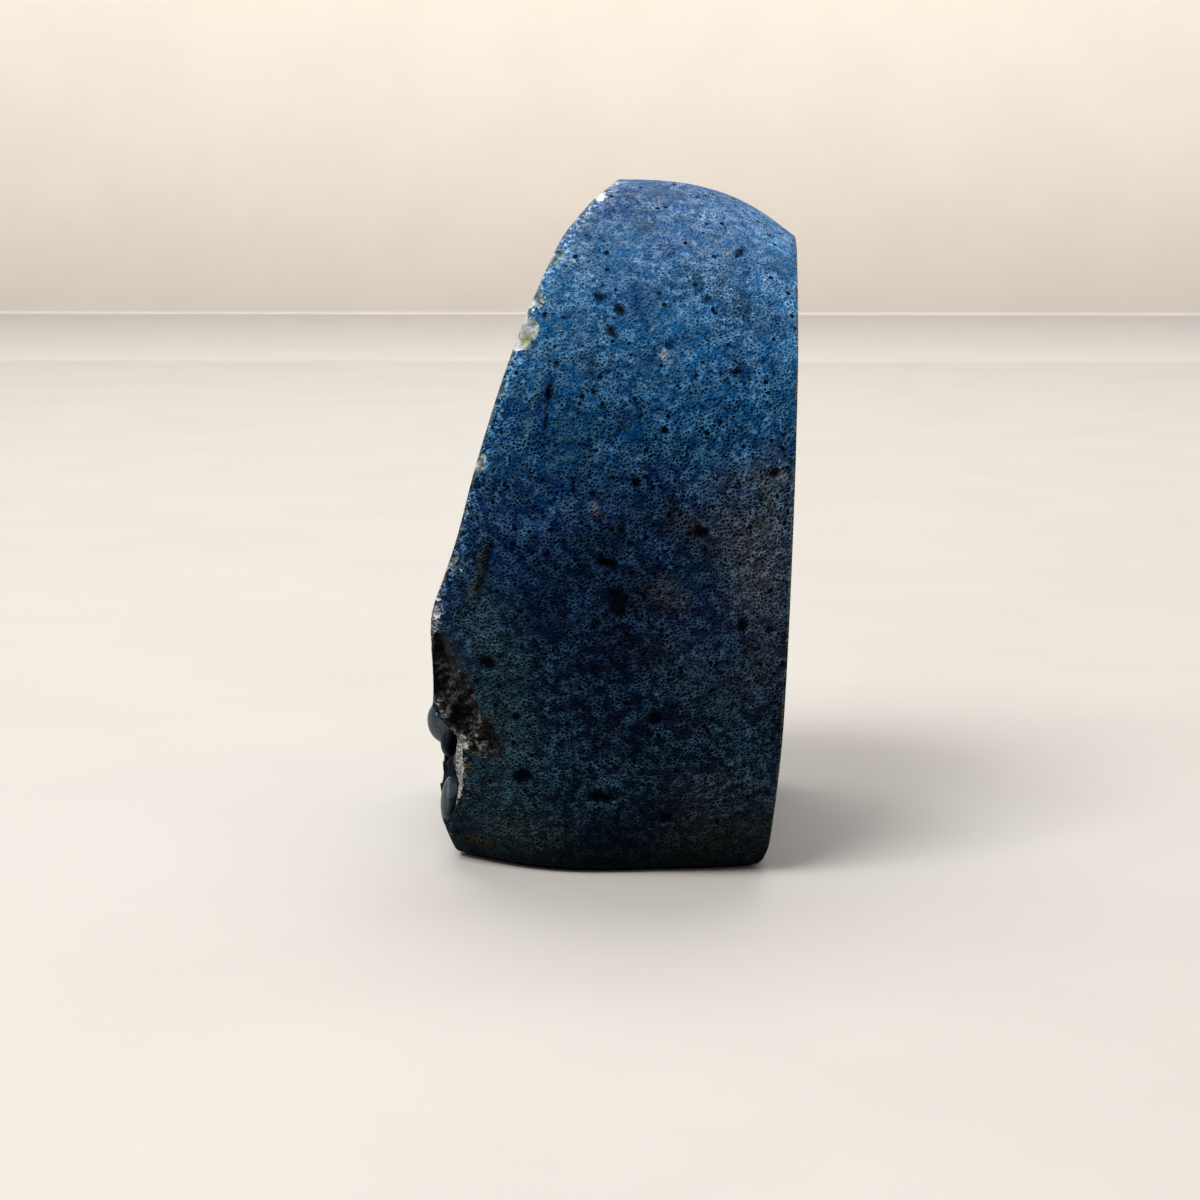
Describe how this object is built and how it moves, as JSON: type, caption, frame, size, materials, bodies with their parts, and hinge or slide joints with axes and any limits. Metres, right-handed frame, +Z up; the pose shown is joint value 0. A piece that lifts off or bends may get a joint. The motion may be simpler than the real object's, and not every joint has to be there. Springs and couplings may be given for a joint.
{
  "type": "dyed agate geode",
  "caption": "Blue dyed agate geode standing on a sawn base, with one polished side whose hollow is lined with quartz crystals and a pitted rind round its edge.",
  "frame": {"origin": "middle of the base, on the surface it stands on", "axes": "+Z up from the base, +Y across the polished side, -X out of the polished side and its hollow"},
  "size_m": [0.0679, 0.0962, 0.1207],
  "materials": {
    "dyed_agate": "pitted matt rind, polished on the side with the hollow",
    "quartz_crystal": "glassy crystal faces"
  },
  "bodies": {
    "root": {"agate_stone": "dyed_agate", "crystal_crust": "quartz_crystal"}
  },
  "joints": []
}
